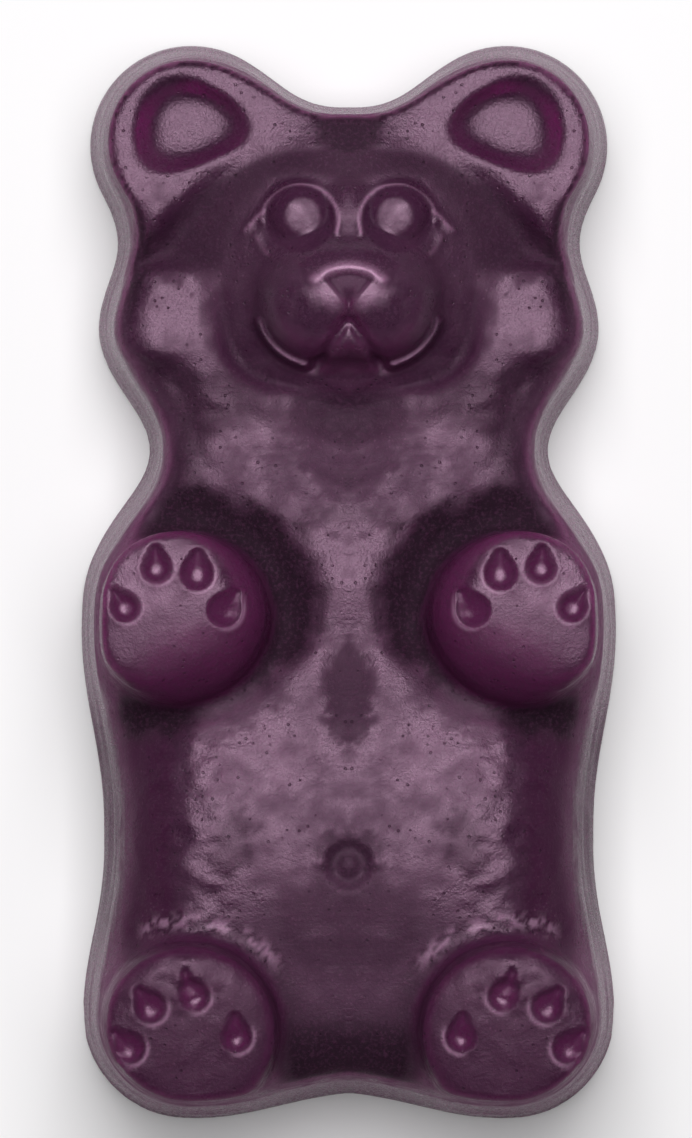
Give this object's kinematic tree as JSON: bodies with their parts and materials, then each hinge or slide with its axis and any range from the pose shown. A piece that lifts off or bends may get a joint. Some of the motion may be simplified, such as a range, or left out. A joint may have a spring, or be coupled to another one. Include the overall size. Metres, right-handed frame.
{
  "type": "gummy bear",
  "caption": "Large moulded grape gummy bear lying on its flat cast back, with round ears, a raised face, stubby arms and feet with dimpled toes, and a ring navel.",
  "frame": {"origin": "centre of the flat back that the bear lies on", "axes": "+X to the right as the bear's face is looked at with its ears up, +Y from its feet to its ears, +Z out of the flat back towards the face"},
  "size_m": [0.0698, 0.1397, 0.0471],
  "materials": {
    "gelatin": "dark purple fruit gum with a soft, finely grained sheen"
  },
  "bodies": {
    "root": {"gummy_bear": "gelatin"}
  },
  "joints": []
}
